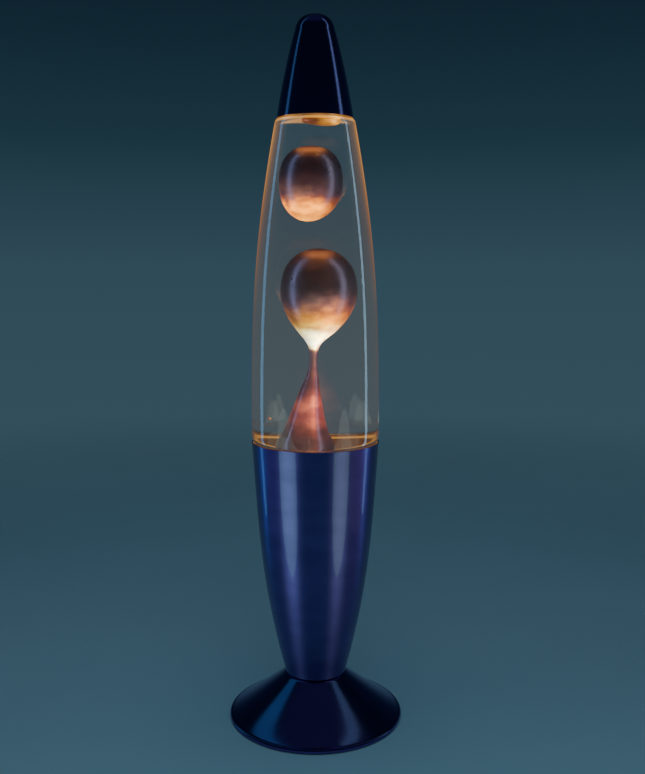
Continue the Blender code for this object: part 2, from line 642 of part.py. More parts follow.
# ---------------------------------------------------------------- cap
def cap():
    """A cone with a domed top that covers the crown and rests on the bottle's shoulder."""
    dome_edge = (11.0 * MM, TOTAL_HEIGHT - 8.5 * MM)
    dome_top = (0.0, TOTAL_HEIGHT)
    dome = bezier(dome_top, (6.2 * MM, TOTAL_HEIGHT), (9.9 * MM, TOTAL_HEIGHT - 2.5 * MM), dome_edge, 4)
    rim = (CAP_RIM_RADIUS, BOTTLE_SHOULDER_Z + GAP)
    side = bezier(dome_edge, (14.2 * MM, 381.5 * MM), (19.4 * MM, 358 * MM), rim, 4)
    turned("cap_shell", dome + side[1:], NAVY_LACQUER, BIG, sheet=SHEET)


def main():
    foot_shell()
    base_plate()
    foot_pads()
    cord_bushing()
    threaded_tube_and_nuts()
    lamp_cup()
    lamp_holder()
    terminal_block()
    leads()
    bulb()
    bottle()
    crown_closure()
    liquid()
    wax()
    surface_coil()
    cap()


main()
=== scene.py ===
"""The looks of the lava lamp: lacquered spun metal, a glass bottle of liquid, and wax with painted light from
below.
"""

import json
import math

import bmesh
import bpy
from mathutils import Matrix, Vector


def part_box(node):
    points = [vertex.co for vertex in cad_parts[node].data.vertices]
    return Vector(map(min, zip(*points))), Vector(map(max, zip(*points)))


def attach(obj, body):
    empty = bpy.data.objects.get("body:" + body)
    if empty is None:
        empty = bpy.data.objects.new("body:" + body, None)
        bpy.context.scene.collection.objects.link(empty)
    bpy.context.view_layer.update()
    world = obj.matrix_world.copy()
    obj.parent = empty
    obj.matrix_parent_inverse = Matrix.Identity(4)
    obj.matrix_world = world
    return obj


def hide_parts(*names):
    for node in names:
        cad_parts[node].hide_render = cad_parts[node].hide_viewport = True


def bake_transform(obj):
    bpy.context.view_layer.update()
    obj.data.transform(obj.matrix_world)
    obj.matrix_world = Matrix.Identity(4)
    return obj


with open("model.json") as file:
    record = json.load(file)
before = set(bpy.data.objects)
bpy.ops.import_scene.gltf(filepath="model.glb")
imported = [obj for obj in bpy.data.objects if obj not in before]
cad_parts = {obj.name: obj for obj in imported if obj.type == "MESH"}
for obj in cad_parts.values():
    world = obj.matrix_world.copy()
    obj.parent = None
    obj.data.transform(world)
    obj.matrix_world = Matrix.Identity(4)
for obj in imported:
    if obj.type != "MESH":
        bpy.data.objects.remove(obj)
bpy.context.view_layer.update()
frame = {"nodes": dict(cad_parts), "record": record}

MM = 0.001
SHEET = 0.7 * MM
FOOT_SHEET = 1.0 * MM
GLASS_WALL = 2.2 * MM
GLASS_FLOOR = 4.5 * MM
GAP = 0.3 * MM
ROUND = 128  # segments of a turned piece

# ---------------------------------------------------------------- sizes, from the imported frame
CAP_LOW, CAP_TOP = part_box("cap_shell")
CUP_LOW, CUP_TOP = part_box("lamp_cup")
FOOT_LOW, FOOT_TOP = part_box("foot_shell")
BOTTLE_LOW, BOTTLE_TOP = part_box("bottle")
TUBE_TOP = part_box("threaded_tube")[1]
BLOB_LOW, BLOB_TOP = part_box("wax_blob")
BULB_LOW, BULB_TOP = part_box("bulb_envelope")
CROWN_LOW, CROWN_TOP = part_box("crown_closure")
LIQUID_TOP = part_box("liquid")[1]
SCREW_LOW, SCREW_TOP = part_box("bulb_screw_cap")
BUSHING_LOW, BUSHING_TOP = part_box("cord_bushing")
BUSHING_Z = (BUSHING_LOW.z + BUSHING_TOP.z) / 2
BUSHING_RADIUS = BUSHING_TOP.x - 1.4 * MM
SHOULDER_Z = CAP_LOW.z - GAP
TUBE_CLEAR = TUBE_TOP.x + 0.35 * MM


# ---------------------------------------------------------------- outlines
def bezier(start, handle_1, handle_2, end, steps):
    """Points (radius, height) of a cubic curve, both ends included."""
    points = []
    for i in range(steps + 1):
        t = i / steps
        u = 1.0 - t
        weights = (u**3, 3 * u * u * t, 3 * u * t * t, t**3)
        corners = (start, handle_1, handle_2, end)
        points.append(tuple(sum(w * p[k] for w, p in zip(weights, corners)) for k in (0, 1)))
    return points


def arc(centre, radius, from_degrees, to_degrees, steps):
    """Points of a round stretch. 0 degrees points away from the lamp's axis and 90 points up."""
    points = []
    for i in range(steps + 1):
        angle = math.radians(from_degrees + (to_degrees - from_degrees) * i / steps)
        points.append((centre[0] + radius * math.cos(angle), centre[1] + radius * math.sin(angle)))
    return points


def inset(points, distance):
    """The same outline moved to its inner side, for an outline that runs down the outer side."""
    moved = []
    for i, (r, z) in enumerate(points):
        before, after = points[max(i - 1, 0)], points[min(i + 1, len(points) - 1)]
        along = Vector((after[0] - before[0], after[1] - before[1])).normalized()
        moved.append((r + along.y * distance, z - along.x * distance))
    return moved


# ---------------------------------------------------------------- ways of making a piece
def turned(name, outline, material, segments=ROUND, closed=True, sharp_degrees=35, ripple=None):
    """A turned solid. A point on the axis becomes a single pole, and a closed outline joins its last
    point to its first. A ripple gives the change of radius at an angle and a point of the outline."""
    shape = bmesh.new()
    angles = [2 * math.pi * i / segments for i in range(segments)]
    rings = []
    for r, z in outline:
        if r < 1e-7:
            rings.append([shape.verts.new((0.0, 0.0, z))])
            continue
        radii = [r + (ripple(a, r, z) if ripple else 0.0) for a in angles]
        rings.append([shape.verts.new((q * math.cos(a), q * math.sin(a), z)) for q, a in zip(radii, angles)])
    pairs = list(zip(rings, rings[1:]))
    if closed:
        pairs.append((rings[-1], rings[0]))
    for upper, lower in pairs:
        for i in range(segments):
            j = (i + 1) % segments
            corners = [upper[i % len(upper)], upper[j % len(upper)]]
            corners += [lower[j % len(lower)], lower[i % len(lower)]]
            corners = list(dict.fromkeys(corners))
            if len(corners) > 2:
                shape.faces.new(corners)
    return finished(name, shape, material, sharp_degrees)


def finished(name, shape, material, sharp_degrees):
    """Turns the working mesh into a piece that is shaded smooth, with crisp edges where it is sharper."""
    bmesh.ops.recalc_face_normals(shape, faces=shape.faces)
    mesh = bpy.data.meshes.new(name)
    shape.to_mesh(mesh)
    shape.free()
    mesh.shade_smooth()
    mesh.set_sharp_from_angle(angle=math.radians(sharp_degrees))
    mesh.materials.append(material)
    obj = bpy.data.objects.new(name, mesh)
    bpy.context.scene.collection.objects.link(obj)
    return obj


def place(piece, body, slot, *nodes):
    """The piece rides on its body and stands for these CAD nodes, which it hides. The slot is not used."""
    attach(piece, body)
    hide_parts(*nodes)
    return piece


# ---------------------------------------------------------------- materials
def new_material(name):
    material = bpy.data.materials.new(name)
    material.use_nodes = True
    tree = material.node_tree
    return material, tree, tree.nodes["Principled BSDF"]


def node(tree, kind, **values):
    """A shader node. Values that name an input set it; the others are the node's own settings."""
    made = tree.nodes.new(kind)
    for key, value in values.items():
        name = key.replace("_", " ")
        if name in made.inputs:
            made.inputs[name].default_value = value
        else:
            setattr(made, key, value)
    return made


def ramp(tree, source, *stops):
    """A colour ramp on a source output. Stops are (position, colour)."""
    made = tree.nodes.new("ShaderNodeValToRGB")
    elements = made.color_ramp.elements
    while len(elements) < len(stops):
        elements.new(0.5)
    for element, (position, colour) in zip(elements, stops):
        element.position = position
        element.color = (*colour, 1.0) if len(colour) == 3 else colour
    tree.links.new(source, made.inputs["Fac"])
    return made.outputs["Color"]


def own_place(tree):
    """A point's place in its object's own coordinates, in metres."""
    return node(tree, "ShaderNodeTexCoord").outputs["Object"]


def noise(tree, scale, detail=3.0, stretch=(1.0, 1.0, 1.0), where=None):
    mapping = node(tree, "ShaderNodeMapping", Scale=stretch)
    texture = node(tree, "ShaderNodeTexNoise", Scale=scale, Detail=detail)
    tree.links.new(where or own_place(tree), mapping.inputs["Vector"])
    tree.links.new(mapping.outputs["Vector"], texture.inputs["Vector"])
    return texture.outputs["Fac"]


def bump(tree, shader, height, strength, distance):
    made = node(tree, "ShaderNodeBump", Strength=strength, Distance=distance)
    tree.links.new(height, made.inputs["Height"])
    tree.links.new(made.outputs["Normal"], shader.inputs["Normal"])


def grey(value):
    return (value, value, value)


def set_values(shader, **values):
    for key, value in values.items():
        shader.inputs[key.replace("_", " ")].default_value = value


def math_node(tree, operation, *values):
    """One arithmetic step on outputs or plain numbers."""
    made = node(tree, "ShaderNodeMath", operation=operation)
    for socket, value in zip(made.inputs, values):
        if isinstance(value, bpy.types.NodeSocket):
            tree.links.new(value, socket)
        elif value is not None:
            socket.default_value = value
    return made.outputs["Value"]


def axes_of(tree, vector):
    split = node(tree, "ShaderNodeSeparateXYZ")
    tree.links.new(vector, split.inputs["Vector"])
    return split.outputs


def height_above(tree, low, high, where=None):
    """0 at the lower height and 1 at the upper one, along the lamp's axis."""
    span = node(tree, "ShaderNodeMapRange")
    span.inputs["From Min"].default_value = low
    span.inputs["From Max"].default_value = high
    tree.links.new(axes_of(tree, where or own_place(tree))["Z"], span.inputs["Value"])
    return span.outputs["Result"]


def blend_colours(tree, kind, a, b, amount=1.0):
    made = node(tree, "ShaderNodeMix", data_type="RGBA", blend_type=kind)
    for name, value in (("A", a), ("B", b), ("Factor", amount)):
        socket = next(s for s in made.inputs if s.name == name and s.enabled)
        if isinstance(value, bpy.types.NodeSocket):
            tree.links.new(value, socket)
        else:
            socket.default_value = value
    return next(s for s in made.outputs if s.enabled)


def finish(name, dark, light, metallic, rough, grain=80.0, relief=0.05, coat=0.0):
    """A plain finish: its tone, gloss and relief vary with noise of the given grain, in cycles a metre."""
    material, tree, shader = new_material(name)
    set_values(shader, Metallic=metallic, Coat_Weight=coat)
    tree.links.new(ramp(tree, noise(tree, grain), (0.3, dark), (0.7, light)), shader.inputs["Base Color"])
    tree.links.new(ramp(tree, noise(tree, 4 * grain), (0.3, grey(rough[0])), (0.7, grey(rough[1]))),
                   shader.inputs["Roughness"])
    bump(tree, shader, noise(tree, 8 * grain, 2.0), relief, 0.0003)
    return material


def gloss_lacquer():
    """Deep navy candy lacquer over spun metal: a dark blue mirror with a little orange peel."""
    material, tree, shader = new_material("navy_gloss_lacquer")
    set_values(shader, Metallic=1.0, Coat_Weight=0.1, Coat_Roughness=0.05)
    tone = ramp(tree, noise(tree, 60.0), (0.3, (0.17, 0.080, 0.34)), (0.7, (0.21, 0.095, 0.40)))
    tree.links.new(tone, shader.inputs["Base Color"])
    haze = ramp(tree, noise(tree, 900.0), (0.35, grey(0.12)), (0.75, grey(0.17)))
    tree.links.new(haze, shader.inputs["Roughness"])
    bump(tree, shader, noise(tree, 420.0, 2.0), 0.03, 0.0004)
    return material


def faces_axis(tree):
    """1 where a wall faces the lamp's axis, and 0 where it faces outwards."""
    level_place = node(tree, "ShaderNodeVectorMath", operation="MULTIPLY")
    level_place.inputs[1].default_value = (1.0, 1.0, 0.0)
    tree.links.new(own_place(tree), level_place.inputs[0])
    outward = node(tree, "ShaderNodeVectorMath", operation="DOT_PRODUCT")
    geometry = node(tree, "ShaderNodeNewGeometry")
    tree.links.new(geometry.outputs["True Normal"], outward.inputs[0])
    tree.links.new(level_place.outputs["Vector"], outward.inputs[1])
    return math_node(tree, "LESS_THAN", outward.outputs["Value"], 0.0)


def satin_lacquer():
    """Blue metallic lacquer over brushed spun metal: fine rings round the axis spread the highlights up
    and down. The inside is bare metal with the bulb's light painted on it as a glow, brightest near the rim."""
    material, tree, shader = new_material("blue_satin_lacquer")
    set_values(shader, Metallic=1.0, Anisotropic=0.7, Anisotropic_Rotation=0.25, Coat_Weight=0.5,
               Coat_Roughness=0.05, Emission_Strength=1.0)
    tangent = node(tree, "ShaderNodeTangent", direction_type="RADIAL", axis="Z")
    tree.links.new(tangent.outputs["Tangent"], shader.inputs["Tangent"])
    rings = noise(tree, 160.0, 6.0, (0.05, 0.05, 18.0))
    tree.links.new(ramp(tree, rings, (0.3, grey(0.33)), (0.7, grey(0.41))), shader.inputs["Roughness"])
    bump(tree, shader, rings, 0.03, 0.0002)
    clouds = noise(tree, 45.0, 4.0, (1.0, 1.0, 2.5))
    outside = ramp(tree, clouds, (0.3, (0.105, 0.056, 0.265)), (0.7, (0.135, 0.072, 0.33)))
    inside = faces_axis(tree)
    colour = blend_colours(tree, "MIX", outside, (0.10, 0.095, 0.09, 1.0), inside)
    tree.links.new(colour, shader.inputs["Base Color"])
    # Painted light: the bulb's glow on the inside wall, bright low down, dimmer upwards, with a thin amber
    # band just under the rim.
    glow = ramp(tree, height_above(tree, CUP_TOP.z - 60 * MM, CUP_TOP.z),
                (0.0, (0.30, 0.11, 0.03)), (0.70, (0.05, 0.018, 0.006)), (0.955, (0.022, 0.009, 0.003)),
                (0.963, (0.62, 0.27, 0.03)), (0.975, (0.62, 0.27, 0.03)), (0.982, (0.04, 0.015, 0.005)))
    tree.links.new(blend_colours(tree, "MULTIPLY", glow, inside), shader.inputs["Emission Color"])
    return material


def lets_lamps_through(tree, surface, tint):
    """Light from the lamps passes the clear piece straight, tinted, so that what is inside is lit."""
    path = node(tree, "ShaderNodeLightPath")
    clear = node(tree, "ShaderNodeBsdfTransparent", Color=(*tint, 1.0))
    mix = node(tree, "ShaderNodeMixShader")
    tree.links.new(path.outputs["Is Shadow Ray"], mix.inputs["Fac"])
    tree.links.new(surface, mix.inputs[1])
    tree.links.new(clear.outputs["BSDF"], mix.inputs[2])
    tree.links.new(mix.outputs["Shader"], tree.nodes["Material Output"].inputs["Surface"])


def bottle_glass():
    """Clear glass. The bulb's light that runs up inside it is painted on as a glow along its
    edges, brightest below the shoulder, and in a thin line at each end of the wall that shows."""
    material, tree, shader = new_material("bottle_glass")
    set_values(shader, Base_Color=(0.97, 0.985, 0.98, 1.0), Roughness=0.0, IOR=1.5,
               Transmission_Weight=1.0, Emission_Strength=1.0)
    # Painted light: amber glow along the glass's edges, by height between the cup's rim and the shoulder.
    edge = node(tree, "ShaderNodeLayerWeight", Blend=0.5)
    along = ramp(tree, edge.outputs["Facing"], (0.30, grey(0.0)), (0.62, grey(0.16)),
                 (0.78, grey(0.45)), (0.90, grey(1.0)))
    shown = height_above(tree, CUP_TOP.z, SHOULDER_Z)
    glow = ramp(tree, shown, (0.05, (0.008, 0.003, 0.002)), (0.42, (0.05, 0.017, 0.005)),
                (0.66, (0.26, 0.085, 0.008)), (0.95, (0.75, 0.30, 0.03)), (0.980, (0.70, 0.28, 0.03)),
                (0.992, (0.05, 0.02, 0.003)))
    edges = blend_colours(tree, "MULTIPLY", along, glow)
    # Painted light: thin lines at the foot end and the neck end of the wall that shows, in patches.
    foot_end = ramp(tree, shown, (0.0, (0.03, 0.010, 0.005)), (0.008, (0.0, 0.0, 0.0)))
    neck = height_above(tree, SHOULDER_Z - 3 * MM, BOTTLE_TOP.z)
    neck_end = ramp(tree, neck, (0.0, (0.0, 0.0, 0.0)), (0.05, (0.30, 0.13, 0.015)),
                    (0.16, (0.05, 0.020, 0.003)), (0.60, (0.002, 0.0008, 0.0002)))
    ends = blend_colours(tree, "ADD", foot_end, neck_end)
    patches = ramp(tree, noise(tree, 110.0, 2.0), (0.35, grey(0.15)), (0.65, grey(1.0)))
    caught = blend_colours(tree, "ADD", edges, blend_colours(tree, "MULTIPLY", ends, patches))
    tree.links.new(caught, shader.inputs["Emission Color"])
    bump(tree, shader, noise(tree, 28.0, 1.0), 0.008, 0.002)
    lets_lamps_through(tree, shader.outputs["BSDF"], (0.97, 0.97, 0.97))
    return material


def level_gleams(tree):
    """Painted light on the level seen from below: brown in the middle, bright patches of thrown-back light
    beside it.
    """
    from_middle = math_node(tree, "ADD", axes_of(tree, own_place(tree))["X"], 3 * MM)
    sideways = math_node(tree, "MULTIPLY", math_node(tree, "ABSOLUTE", from_middle), 1 / (20 * MM))
    light = ramp(tree, sideways, (0.0, (0.03, 0.012, 0.005)), (0.36, (0.03, 0.012, 0.005)),
                 (0.46, (0.30, 0.17, 0.05)), (0.60, (1.3, 0.85, 0.28)), (0.78, (0.22, 0.09, 0.015)),
                 (1.0, (0.20, 0.08, 0.010)))
    patches = ramp(tree, noise(tree, 200.0, 1.0, (0.7, 1.0, 1.0)), (0.42, grey(0.10)), (0.58, grey(1.0)))
    return blend_colours(tree, "MULTIPLY", light, patches)


def liquid_material():
    """Clear liquid with a faint warm glow painted in it. Its level and the ring where it meets the
    glass have painted amber light.
    """
    material, tree, shader = new_material("clear_liquid")
    set_values(shader, Base_Color=(0.985, 0.975, 0.955, 1.0), Roughness=0.0, IOR=1.34,
               Transmission_Weight=1.0, Emission_Strength=1.0)
    # Painted light: a faint warm glow, fading upwards, and amber at the level and its ring.
    glow = ramp(tree, height_above(tree, CUP_TOP.z, LIQUID_TOP.z), (0.0, (0.018, 0.009, 0.003)),
                (0.45, (0.016, 0.008, 0.002)), (0.70, (0.010, 0.003, 0.0004)), (0.90, (0.004, 0.001, 0.0)),
                (0.997, (0.004, 0.001, 0.0)), (0.999, (0.60, 0.225, 0.008)))
    # Painted light on the level itself: the gleams, where the surface faces up near the top.
    normal = node(tree, "ShaderNodeNewGeometry").outputs["Normal"]
    upward = math_node(tree, "ABSOLUTE", axes_of(tree, normal)["Z"])
    on_level = ramp(tree, upward, (0.85, grey(0.0)), (0.95, grey(1.0)))
    near_level = ramp(tree, height_above(tree, LIQUID_TOP.z - 4 * MM, LIQUID_TOP.z),
                      (0.5, grey(0.0)), (0.8, grey(1.0)))
    level = blend_colours(tree, "MULTIPLY", on_level, near_level)
    shine = blend_colours(tree, "MIX", glow, level_gleams(tree), level)
    tree.links.new(shine, shader.inputs["Emission Color"])
    bump(tree, shader, noise(tree, 20.0, 1.0), 0.01, 0.002)
    lets_lamps_through(tree, shader.outputs["BSDF"], (0.98, 0.95, 0.9))
    return material


REST_PLACE = "rest_place"


def remember_places(piece):
    """Keeps each point's place at rest, so that the painted light in the wax stays with it when it stretches.
    """
    places = piece.data.attributes.new(REST_PLACE, "FLOAT_VECTOR", "POINT")
    for vert in piece.data.vertices:
        places.data[vert.index].vector = vert.co
    return piece


def wax_material(name, painted_glow_steps, painted_side_light, top_light=1.0):
    """Pearly copper-brown wax. The first table is the bulb's light through it, painted in as a glow, as
    (height, colour) from the bottom up. The second paints it lighter or darker as painted side light,
    from the wax's left side, at -1, to its right side, at 1. Its top gets painted light from above."""
    material, tree, shader = new_material(name)
    set_values(shader, Metallic=0.9, Emission_Strength=1.0)
    where = node(tree, "ShaderNodeAttribute", attribute_name=REST_PLACE).outputs["Vector"]
    pearl = noise(tree, 60.0, 2.0, where=where)
    tree.links.new(ramp(tree, pearl, (0.3, (0.18, 0.13, 0.17)), (0.7, (0.23, 0.165, 0.205))),
                   shader.inputs["Base Color"])
    sheen = noise(tree, 260.0, where=where)
    tree.links.new(ramp(tree, sheen, (0.3, grey(0.27)), (0.7, grey(0.36))), shader.inputs["Roughness"])
    bump(tree, shader, noise(tree, 70.0, 2.0, where=where), 0.10, 0.0008)
    # Painted light: the bulb's glow through the wax, by height with a wavy reach, mottled and lighter or
    # darker by side.
    bottom, top = painted_glow_steps[0][0], painted_glow_steps[-1][0]
    wave = math_node(tree, "SUBTRACT", noise(tree, 120.0, 3.0, (1.0, 1.0, 2.0), where), 0.5)
    height = height_above(tree, bottom, top, where)
    reach = math_node(tree, "MULTIPLY_ADD", wave, 8 * MM / (top - bottom), height)
    glow = ramp(tree, reach, *[((z - bottom) / (top - bottom), colour) for z, colour in painted_glow_steps])
    painted_light_mottle = ramp(tree, noise(tree, 120.0, 4.0, (1.0, 1.0, 1.4), where), (0.36, (0.55, 0.50, 0.60)),
                  (0.60, (1.20, 1.20, 1.0)))
    normal = axes_of(tree, node(tree, "ShaderNodeNewGeometry").outputs["Normal"])
    # Painted side light: lighter or darker by which way the wax faces, left or right.
    tint = ramp(tree, math_node(tree, "MULTIPLY_ADD", normal["X"], 0.5, 0.5),
                *[(0.5 + 0.5 * side, colour) for side, colour in painted_side_light])
    shade = blend_colours(tree, "MULTIPLY", blend_colours(tree, "MULTIPLY", glow, painted_light_mottle), tint)
    # Painted light from above on the top, strongest where the wax faces front or back.
    crown = ramp(tree, normal["Z"], (0.42, (0.008, 0.002, 0.002)), (0.60, (0.12, 0.035, 0.012)),
                 (0.74, (0.50, 0.145, 0.040)), (0.87, (0.40, 0.11, 0.03)), (0.95, (0.10, 0.022, 0.010)),
                 (0.99, (0.010, 0.003, 0.004)))
    front = ramp(tree, math_node(tree, "ABSOLUTE", normal["X"]), (0.22, grey(top_light)), (0.58, grey(0.06)))
    tree.links.new(blend_colours(tree, "ADD", shade, blend_colours(tree, "MULTIPLY", crown, front)),
                   shader.inputs["Emission Color"])
    return material


# ---------------------------------------------------------------- cap
def cap_outline():
    dome_edge = (11.0 * MM, CAP_TOP.z - 8.5 * MM)
    dome = bezier((0.0, CAP_TOP.z), (6.2 * MM, CAP_TOP.z), (9.9 * MM, CAP_TOP.z - 2.5 * MM), dome_edge, 20)
    side = bezier(dome_edge, (14.2 * MM, CAP_TOP.z - 18.5 * MM), (19.4 * MM, CAP_TOP.z - 42 * MM),
                  (CAP_TOP.x, SHOULDER_Z + GAP), 36)
    outer = dome + side[1:]
    return outer + inset(outer, SHEET)[:0:-1] + [(0.0, CAP_TOP.z - SHEET)]


def make_cap():
    cap = turned("spun_cap", cap_outline(), gloss_lacquer(), closed=False)
    return place(cap, "cap", "navy_lacquer", "cap_shell")


# ---------------------------------------------------------------- cup
def make_cup():
    corner = 1.2 * MM
    foot_r, foot_z = 17.9 * MM, CUP_LOW.z
    rim = (CUP_TOP.x, CUP_TOP.z)
    wall = bezier(rim, (rim[0] - 3.5 * MM, rim[1] - 50 * MM), (foot_r + 14.3 * MM, foot_z + 55.2 * MM),
                  (foot_r, foot_z + corner), 60)
    outer = wall + arc((foot_r - corner, foot_z + corner), corner, 0, -90, 6)[1:]
    outer.append((TUBE_CLEAR, foot_z))
    outline = outer + inset(outer, SHEET)[::-1]
    return place(turned("spun_cup", outline, satin_lacquer()), "root", "blue_satin_lacquer", "lamp_cup")


# ---------------------------------------------------------------- foot
def cut_round_hole(piece, radius, centre, length):
    """A level hole along Y."""
    shape = bmesh.new()
    bmesh.ops.create_cone(shape, cap_ends=True, segments=64, radius1=radius, radius2=radius, depth=length)
    bmesh.ops.rotate(shape, verts=shape.verts, matrix=Matrix.Rotation(math.pi / 2, 3, "X"))
    bmesh.ops.translate(shape, verts=shape.verts, vec=centre)
    cutter = finished("hole_cutter", shape, piece.data.materials[0], 35)
    cut = piece.modifiers.new("Hole", "BOOLEAN")
    cut.operation = "DIFFERENCE"
    cut.solver = "EXACT"
    cut.object = cutter
    bpy.context.view_layer.update()
    graph = bpy.context.evaluated_depsgraph_get()
    holed = bpy.data.meshes.new_from_object(piece.evaluated_get(graph))
    piece.modifiers.clear()
    piece.data = holed
    bpy.data.objects.remove(cutter)


def make_foot():
    lip_radius = 1.4 * MM
    lip_centre = (FOOT_TOP.x - lip_radius, FOOT_LOW.z + 0.8 * MM)
    top = (18.2 * MM, FOOT_TOP.z - 0.7 * MM)
    cone = bezier(top, (28.5 * MM, FOOT_TOP.z - 9.3 * MM), (41.4 * MM, FOOT_LOW.z + 6.9 * MM),
                  (lip_centre[0], lip_centre[1] + lip_radius), 44)
    outer = [(TUBE_CLEAR, FOOT_TOP.z), (16.6 * MM, FOOT_TOP.z), (17.5 * MM, FOOT_TOP.z - 0.15 * MM), *cone]
    outer += arc(lip_centre, lip_radius, 75, 0, 8)
    outer.append((FOOT_TOP.x, FOOT_LOW.z))
    outline = outer + inset(outer, FOOT_SHEET)[::-1]
    foot = turned("spun_foot", outline, gloss_lacquer())
    cut_round_hole(foot, BUSHING_RADIUS + GAP, (0.0, 39 * MM, BUSHING_Z), 24 * MM)
    return place(foot, "root", "navy_lacquer", "foot_shell")


def make_bushing():
    """A rubber bushing through the back of the foot: a collar inside, a rounded end outside."""
    length = BUSHING_TOP.y - BUSHING_LOW.y
    collar = BUSHING_TOP.x
    bore = 3.2 * MM
    outline = [(bore, length - 0.6 * MM), (bore + 0.5 * MM, length)]
    outline += arc((BUSHING_RADIUS - 0.9 * MM, length - 0.9 * MM), 0.9 * MM, 90, 0, 8)
    outline += [(BUSHING_RADIUS, 2.0 * MM), (BUSHING_RADIUS + 0.2 * MM, 1.6 * MM)]
    outline += [(collar - 0.3 * MM, 1.6 * MM), (collar, 1.3 * MM), (collar, 0.3 * MM)]
    outline += [(collar - 0.3 * MM, 0.0), (bore, 0.0)]
    rubber = finish("moulded_rubber", grey(0.012), grey(0.022), 0.0, (0.6, 0.75))
    piece = turned("rubber_bushing", outline, rubber, 64)
    piece.rotation_euler.x = -math.pi / 2
    piece.location = (0.0, BUSHING_LOW.y, BUSHING_Z)
    place(piece, "root", "rubber", "cord_bushing")


# ---------------------------------------------------------------- bottle and liquid
def bottle_wall(steps):
    shoulder = (22.1 * MM, SHOULDER_Z - 1.0 * MM)
    radius = BOTTLE_TOP.x
    widest = (radius, CUP_TOP.z + 6.3 * MM)
    upper = bezier(shoulder, (33.1 * MM, 284 * MM), (36.5 * MM, 245 * MM), widest, steps)
    ledge = bezier(widest, (radius, CUP_TOP.z + 2.0 * MM), (radius - 0.3 * MM, CUP_TOP.z + GAP),
                   (radius - 1.3 * MM, CUP_TOP.z + GAP), 6)
    lower = bezier((radius - 1.3 * MM, CUP_TOP.z - 1.5 * MM), (34.8 * MM, CUP_TOP.z - 10.7 * MM),
                   (33.0 * MM, CUP_TOP.z - 23.7 * MM), (30.5 * MM, CUP_TOP.z - 36.7 * MM), steps // 3)
    return upper, ledge[1:], lower


def inner_wall(steps, wall):
    """The bottle's inside, which has no ledge."""
    upper, _, lower = bottle_wall(steps)
    return inset(upper + lower, wall)


def make_bottle():
    upper, ledge, lower = bottle_wall(60)
    mouth = BOTTLE_TOP.z
    floor = BOTTLE_LOW.z
    bore = 8.5 * MM
    heel = bezier(lower[-1], (29.6 * MM, floor + 2.6 * MM), (28.4 * MM, floor), (25.0 * MM, floor), 10)
    punt = bezier((25.0 * MM, floor), (20.0 * MM, floor + 0.2 * MM), (12.0 * MM, floor + 1.6 * MM),
                  (0.0, floor + 1.6 * MM), 10)
    lip = [(bore, mouth - 0.5 * MM), (bore + 0.5 * MM, mouth), (12.3 * MM, mouth)]
    lip += [(13.0 * MM, mouth - 0.8 * MM), (13.0 * MM, mouth - 3.6 * MM)]
    lip += [(12.5 * MM, mouth - 5.5 * MM), (12.6 * MM, mouth - 7.5 * MM)]
    neck = bezier((12.6 * MM, mouth - 8.0 * MM), (12.9 * MM, mouth - 14 * MM),
                  (17.5 * MM, SHOULDER_Z + 0.6 * MM), (21.2 * MM, SHOULDER_Z - 0.1 * MM), 12)
    inner_floor = floor + GLASS_FLOOR
    wall = inner_wall(60, GLASS_WALL)
    inner_heel = bezier(wall[-1], (27.6 * MM, inner_floor + 1.5 * MM), (26.0 * MM, inner_floor),
                        (22.0 * MM, inner_floor), 8)
    inner_neck = bezier((bore, mouth - 6 * MM), (bore, mouth - 14 * MM), (14.5 * MM, SHOULDER_Z - 0.6 * MM),
                        wall[0], 12)
    inside = inner_neck + wall[1:] + inner_heel[1:] + [(0.0, inner_floor)]
    outline = inside[::-1] + lip + neck + upper + ledge + lower + heel[1:] + punt[1:]
    bottle = turned("glass_bottle", outline, bottle_glass(), closed=False)
    return place(bottle, "bottle", "bottle_glass", "bottle")


def make_liquid():
    """The liquid fills the bottle to its level. It reaches a little way into the glass, so that no air
    shows, and its level turns up where it meets the glass."""
    bite = 0.25 * MM
    level = LIQUID_TOP.z + 0.4 * MM
    floor = BOTTLE_LOW.z + GLASS_FLOOR - bite
    wall = [p for p in inner_wall(60, GLASS_WALL - bite) if p[1] < level]
    heel = bezier(wall[-1], (27.8 * MM, floor + 1.5 * MM), (26.0 * MM, floor), (22.0 * MM, floor), 8)
    wall_slope = 0.17
    edge = wall[0][0] - (level - wall[0][1]) * wall_slope
    outline = [(0.0, level), (edge - 1.2 * MM, level), (edge, level + 0.3 * MM)]
    outline += [*wall, *heel[1:], (0.0, floor)]
    liquid = turned("clear_liquid", outline, liquid_material(), closed=False)
    return place(liquid, "bottle", "liquid", "liquid")


# ---------------------------------------------------------------- wax
def spline(values, steps):
    """Smooth values between stations, with this many steps between neighbours (Catmull-Rom)."""
    ends = [2 * values[0] - values[1], *values, 2 * values[-1] - values[-2]]
    line = []
    for a, b, c, d in zip(ends, ends[1:], ends[2:], ends[3:]):
        for i in range(steps):
            t = i / steps
            bend = (2 * a - 5 * b + 4 * c - d) * t**2 + (3 * b - a - 3 * c + d) * t**3
            line.append(0.5 * (2 * b + (c - a) * t + bend))
    return line + [values[-1]]


